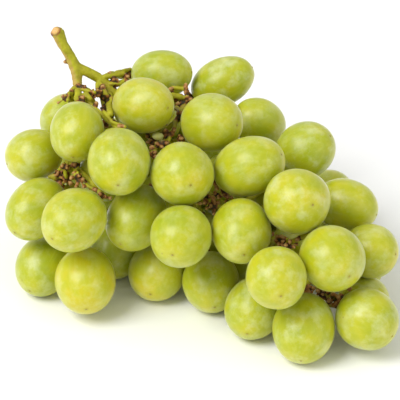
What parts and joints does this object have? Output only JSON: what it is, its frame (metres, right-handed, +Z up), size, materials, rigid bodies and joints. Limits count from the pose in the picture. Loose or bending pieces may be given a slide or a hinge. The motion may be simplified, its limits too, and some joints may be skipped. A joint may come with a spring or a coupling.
{
  "type": "bunch of grapes",
  "caption": "Bunch of pale green table grapes lying on its side, plump oval berries on a branching woody stem with a bare cut end.",
  "frame": {"origin": "on the surface that the bunch lies on, under the middle of its bounding box", "axes": "+X along the width of the bunch, towards its tip; -Y towards the side that the picture shows; +Z up"},
  "size_m": [0.1516, 0.138, 0.0895],
  "materials": {
    "berry_skin": "satin skin with a pale bloom, slightly translucent",
    "stem_wood": "matt, green to tan, warty at the receptacles"
  },
  "bodies": {
    "root": {"berry_01": "berry_skin", "berry_02": "berry_skin", "berry_03": "berry_skin", "berry_04": "berry_skin", "berry_05": "berry_skin", "berry_06": "berry_skin", "berry_07": "berry_skin", "berry_08": "berry_skin", "berry_09": "berry_skin", "berry_10": "berry_skin", "berry_11": "berry_skin", "berry_12": "berry_skin", "berry_13": "berry_skin", "berry_14": "berry_skin", "berry_15": "berry_skin", "berry_16": "berry_skin", "berry_17": "berry_skin", "berry_18": "berry_skin", "berry_19": "berry_skin", "berry_20": "berry_skin", "berry_21": "berry_skin", "berry_22": "berry_skin", "berry_23": "berry_skin", "berry_24": "berry_skin", "berry_25": "berry_skin", "berry_26": "berry_skin", "berry_27": "berry_skin", "berry_28": "berry_skin", "berry_29": "berry_skin", "berry_30": "berry_skin", "berry_31": "berry_skin", "berry_32": "berry_skin", "berry_33": "berry_skin", "berry_34": "berry_skin", "berry_35": "berry_skin", "berry_36": "berry_skin", "berry_37": "berry_skin", "berry_38": "berry_skin", "berry_39": "berry_skin", "berry_40": "berry_skin", "berry_41": "berry_skin", "berry_42": "berry_skin", "berry_43": "berry_skin", "berry_44": "berry_skin", "berry_45": "berry_skin", "berry_46": "berry_skin", "berry_47": "berry_skin", "berry_48": "berry_skin", "berry_49": "berry_skin", "berry_50": "berry_skin", "berry_51": "berry_skin", "berry_52": "berry_skin", "berry_53": "berry_skin", "berry_54": "berry_skin", "stem": "stem_wood"}
  },
  "joints": []
}
